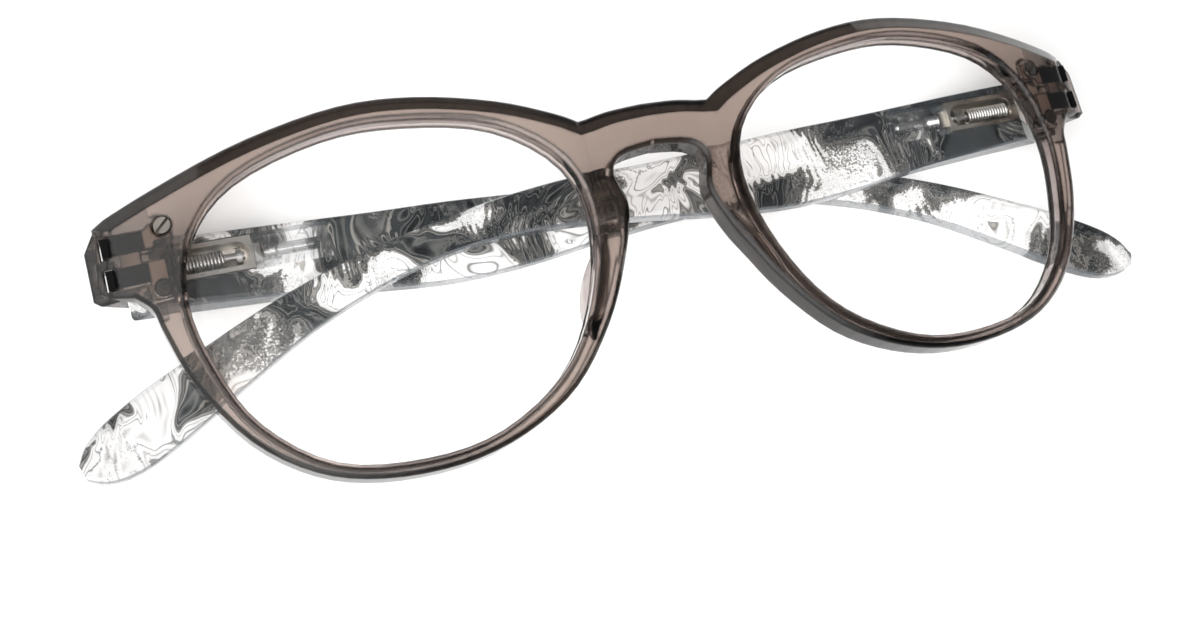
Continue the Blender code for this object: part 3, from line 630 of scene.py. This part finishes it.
lens, tree, shader = start_material("clear_lens")
set_plain(shader, Base_Color=LENS_TINT, Transmission_Weight=1.0, IOR=LENS_INDEX)
add_marks(
    tree, shader, scale=120.0, base=0.01, span=0.008, depth=0.0005 * MM,
    drag=(1.0, 1.0, 1.0), normal=ground_normal(tree),
)
let_shadows_through(tree, shader, LENS_SHADOW)
wear(lens, "lens_left", "lens_right")
print("lenses:", lens.name)

# %% [markdown]
# ### Marbled resin of the arms
# Each arm takes the swirl at its own shift, so that the two are never the same. Part of the light
# goes through, tinted by the paint, so the pale fields look deep. Three zones are treated apart:
# the resin above the core pin is clear enough to show the pin, the patch around it has a tone of
# its own, and so has the rounded tip.

# %% Find the resin around each core pin
PIN_MARGIN = 1.3 * MM
PIN_SOFT = 0.25 * MM
PATCH_MARGIN = 1.9 * MM
PATCH_SOFT = 1.0 * MM


def within(tree, value, low, high, soft):
    """1 between low and high, 0 beyond them, with a soft border."""
    middle, half = (low + high) / 2, (high - low) / 2
    off = maths(tree, "ABSOLUTE", maths(tree, "SUBTRACT", value, middle))
    return spread(tree, off, half + soft, half)


def pin_zone(tree, side, margin, soft):
    """A mask for the resin round the core pin, seen along the arm's thickness."""
    low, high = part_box("core_pin_" + side)
    place = parts_of_place(tree)
    along = within(tree, place["X"], low.x - margin, high.x + margin, soft)
    across = within(tree, place["Y"], low.y - margin, high.y + margin, soft)
    return maths(tree, "MULTIPLY", along, across)


def above_pin(tree, side):
    """A mask for what lies nearer to the front than the middle of the pin."""
    low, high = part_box("core_pin_" + side)
    middle = (low.z + high.z) / 2
    return spread(tree, parts_of_place(tree)["Z"], middle - PIN_SOFT, middle + PIN_SOFT)


print("pin margin in mm:", PIN_MARGIN / MM)

# %% [markdown]
# The tips stand out from their arms: the left one is paler, the right one a little darker. The
# swirl can't know where a tip is, so a mask tells it.

# %% Find the tip of each arm
TIP_LENGTH = 11.0 * MM


def tip_zone(tree, side):
    """A mask for the rounded end of the folded arm, soft over half the tip's length."""
    low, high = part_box("temple_arm_" + side)
    end, inward = (low.x, TIP_LENGTH) if side == "left" else (high.x, -TIP_LENGTH)
    return spread(tree, parts_of_place(tree)["X"], end + inward, end + inward / 2)


print("tip length in mm:", TIP_LENGTH / MM)

# %% [markdown]
# The two arms differ a little in tone, and so do the patches round their pins. A painted map
# would hold for one size only, so the tones are added up from the masks.

# %% Tone each arm
ARM_TONES = {"left": -0.036, "right": -0.020}
PATCH_TONES = {"left": 0.03, "right": 0.09}
TIP_TONES = {"left": 0.10, "right": -0.04}


def tone_of(tree, side):
    """What is added to the swirl's tone: more is paler, less is darker."""
    patch = pin_zone(tree, side, PATCH_MARGIN, PATCH_SOFT)
    patch_tone = maths(tree, "MULTIPLY", patch, PATCH_TONES[side])
    tip_tone = maths(tree, "MULTIPLY", tip_zone(tree, side), TIP_TONES[side])
    return maths(tree, "ADD", maths(tree, "ADD", patch_tone, tip_tone), ARM_TONES[side])


print("arm tones:", ARM_TONES)

# %% [markdown]
# Now the resin itself. Its walls get a blue-grey edge of painted shade, as thick clear resin
# shows. Above the core pin the alpha falls, so that the pin shows. A hole would show it too, but
# it would change the piece and have hard borders.

# %% Mix the marbled resin for each arm
RESIN_SHIFTS = {"left": (0.013, 0.021, 0.004), "right": (0.071, -0.034, 0.052)}
RESIN_SWIRL = {"Scale": 115.0, "Comb": 0.8, "Speckle": 0.17}
RESIN_SHADOW = (0.93, 0.935, 0.94, 1)
RESIN_EDGE_SHADE = (0.10, 0.115, 0.13, 1)
RESIN_EDGE_SHADE_SHARE = 0.70
RESIN_WALL_BELOW = 0.50
RESIN_INDEX = 1.44
RESIN_CLARITY = 0.38
PIN_CLARITY = 0.82


def mix_resin(side):
    material, tree, shader = start_material("marbled_resin_" + side)
    set_plain(shader, Transmission_Weight=RESIN_CLARITY, IOR=RESIN_INDEX)
    paint = add_group(tree, swirl, {
        "Place": place_of(tree),
        "Lift": tone_of(tree, side),
        "Shift": RESIN_SHIFTS[side],
        **RESIN_SWIRL,
    })
    # The arm's walls get a blue-grey painted shade.
    edge_shaded = add_group(tree, wall, {
        "Normal": normal_of(tree),
        "Soft": RESIN_WALL_BELOW,
        "Face": paint["Color"],
        "Wall": blended(tree, RESIN_EDGE_SHADE_SHARE, paint["Color"], RESIN_EDGE_SHADE),
    })
    feed(tree, shader.inputs["Base Color"], edge_shaded["Color"])
    near_pin = maths(
        tree, "MULTIPLY", pin_zone(tree, side, PIN_MARGIN, PIN_SOFT), above_pin(tree, side),
    )
    cleared = maths(tree, "MULTIPLY", near_pin, PIN_CLARITY)
    feed(tree, shader.inputs["Alpha"], maths(tree, "SUBTRACT", 1.0, cleared))
    add_marks(tree, shader, scale=240.0, base=0.06, span=0.05, depth=0.002 * MM)
    let_shadows_through(tree, shader, RESIN_SHADOW)
    wear(material, "temple_arm_" + side)


for side in SIDES:
    mix_resin(side)
print("arms:", len(RESIN_SHIFTS))

# %% [markdown]
# ### Metals
# The hinge has several finishes: champagne nickel on the spring housing, plain steel on the
# spring and the rod inside it, a bright pin in the resin, and darker screws and studs. Four
# separate node trees would say the same thing four times, so one function mixes them all from
# two colours and a roughness, with drawn-out scratches.

# %% Mix the metals
WORN_SCALE = 420.0
WORN_FROM = 0.42
WORN_FULL = 0.66


def mix_metal(name, colour, worn_colour, rough, span, drag, nodes):
    material, tree, shader = start_material(name)
    set_plain(shader, Metallic=1.0)
    patch = noise(tree, place_of(tree), WORN_SCALE, detail=3.0)["Fac"]
    share = spread(tree, patch, WORN_FROM, WORN_FULL)
    feed(tree, shader.inputs["Base Color"], blended(tree, share, colour, worn_colour))
    add_marks(tree, shader, scale=500.0, base=rough, span=span, depth=0.004 * MM, drag=drag)
    wear(material, *nodes)


def both_sides(*names):
    return [name + "_" + side for name in names for side in SIDES]


METALS = (
    ("champagne_nickel", (0.70, 0.66, 0.60, 1), (0.58, 0.55, 0.51, 1), 0.30, 0.16,
     (1.0, 9.0, 9.0), both_sides("hinge_housing")),
    ("spring_steel", (0.60, 0.59, 0.57, 1), (0.48, 0.47, 0.46, 1), 0.30, 0.10,
     (1.0, 4.0, 4.0), both_sides("hinge_spring", "hinge_slide", "spring_nut")),
    ("bright_pin", (0.86, 0.86, 0.85, 1), (0.74, 0.73, 0.72, 1), 0.24, 0.12,
     (1.0, 7.0, 7.0), both_sides("core_pin")),
    ("screw_steel", (0.17, 0.155, 0.14, 1), (0.10, 0.09, 0.08, 1), 0.42, 0.14,
     (1.0, 1.0, 1.0), both_sides("hinge_screw", "anchor_stud_upper", "anchor_stud_lower")),
)
for recipe in METALS:
    mix_metal(*recipe)
print("metals:", len(METALS))

# %% [markdown]
# ### Hinge leaves
# Through the smoky plastic only two bars of each leaf show, and they are painted black: painted
# shade for the metal in the dark of its pocket. The tabs and the web between them sit in the glue
# of their pocket and pass for the plastic around them, so they get its brown. A second piece for
# the bars would do it too, but a mask keeps each leaf one piece. The bars' places are shares of
# the leaf's own box.

# %% Mix the hinge leaves
LEAF_BAR_SHADE = (0.003, 0.003, 0.003, 1)
LEAF_GLUED = (0.46, 0.41, 0.375, 1)
LEAF_GLOSS = 0.12
LEAF_SOFT = 0.12 * MM
BAR_INNER_SHARE = 0.38
BAR_LEVEL_SHARES = ((0.255, 0.510), (0.685, 0.940))


def bars_of(tree, side):
    """A mask for the two bars, which fill the outer part of the leaf at two levels."""
    low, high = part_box("hinge_fork_" + side)
    place = parts_of_place(tree)
    span = high.y - low.y
    bars = 0.0
    for foot, head in BAR_LEVEL_SHARES:
        bar = within(tree, place["Y"], low.y + span * foot, low.y + span * head, LEAF_SOFT)
        bars = maths(tree, "MAXIMUM", bar, bars)
    outer, inner = max(abs(low.x), abs(high.x)), min(abs(low.x), abs(high.x))
    start = inner + (outer - inner) * BAR_INNER_SHARE
    out = maths(tree, "ABSOLUTE", place["X"])
    return maths(tree, "MULTIPLY", bars, spread(tree, out, start - LEAF_SOFT, start + LEAF_SOFT))


def mix_leaf(side):
    material, tree, shader = start_material("hinge_leaf_" + side)
    set_plain(shader, Specular_IOR_Level=LEAF_GLOSS)
    # The bars are painted black, as painted shade for the metal in its dark pocket.
    colour = blended(tree, bars_of(tree, side), LEAF_GLUED, LEAF_BAR_SHADE)
    feed(tree, shader.inputs["Base Color"], colour)
    add_marks(tree, shader, scale=500.0, base=0.5, span=0.1, depth=0.004 * MM)
    wear(material, "hinge_fork_" + side)


for side in SIDES:
    mix_leaf(side)
print("leaves:", len(SIDES))

# %% [markdown]
# ## Finer springs
# The solids carry plain springs of few curls. Each one is drawn again here with the close turns
# that show in the window, on the same line, in the same length and inside the same radius. A
# screw modifier would need a profile and an axis object, while the coil is a short formula: a
# ring of points that walks along a helix.

# %% Wind the springs
SPRING_TURNS = 15
SPRING_WIRE = 0.21 * MM
SPRING_RADIUS = 0.97 * MM
STEPS_PER_TURN = 20
WIRE_SIDES = 8


def coil_mesh(name, start, along, length):
    """A closed mesh of wire, wound round the line that leaves start in the direction along."""
    first = along.cross((0, 0, 1)).normalized()
    second = along.cross(first)
    count = SPRING_TURNS * STEPS_PER_TURN
    points = []
    for step in range(count + 1):
        turn = 2 * math.pi * step / STEPS_PER_TURN
        outward = first * math.cos(turn) + second * math.sin(turn)
        centre = start + along * (length * step / count) + outward * SPRING_RADIUS
        for k in range(WIRE_SIDES):
            angle = 2 * math.pi * k / WIRE_SIDES
            ring = outward * math.cos(angle) + along * math.sin(angle)
            points.append(centre + ring * SPRING_WIRE)
    faces = []
    for step in range(count):
        for k in range(WIRE_SIDES):
            a = step * WIRE_SIDES + k
            b = step * WIRE_SIDES + (k + 1) % WIRE_SIDES
            faces.append((a, b, b + WIRE_SIDES, a + WIRE_SIDES))
    faces.append(tuple(range(WIRE_SIDES - 1, -1, -1)))
    faces.append(tuple(range(count * WIRE_SIDES, (count + 1) * WIRE_SIDES)))
    mesh = bpy.data.meshes.new(name)
    mesh.from_pydata(points, [], faces)
    mesh.shade_smooth()
    return mesh


print("wire in mm:", 2 * SPRING_WIRE / MM)

# %% [markdown]
# Each fine spring takes its line from the slide joint and its length from the plain spring that
# it replaces, so it still fits when the CAD changes.


# %% Put each spring in its window
def fit_spring(side):
    cad = frame["nodes"]["hinge_spring_" + side]
    joint = next(joint for joint in frame["joints"] if joint["name"] == "flex_" + side)
    along = Vector(joint["axis"]).normalized()
    reach = [vertex.co.dot(along) for vertex in cad.data.vertices]
    low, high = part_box(cad.name)
    middle = (low + high) / 2
    start = middle + along * (min(reach) + SPRING_WIRE - middle.dot(along))
    length = max(reach) - min(reach) - 2 * SPRING_WIRE
    mesh = coil_mesh("fine_spring_" + side, start, along, length)
    mesh.materials.append(bpy.data.materials["spring_steel"])
    spring = bpy.data.objects.new("fine_spring_" + side, mesh)
    bpy.context.collection.objects.link(spring)
    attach(spring, "arm_" + side)
    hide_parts(cad.name)


for side in SIDES:
    fit_spring(side)
print("turns:", SPRING_TURNS)
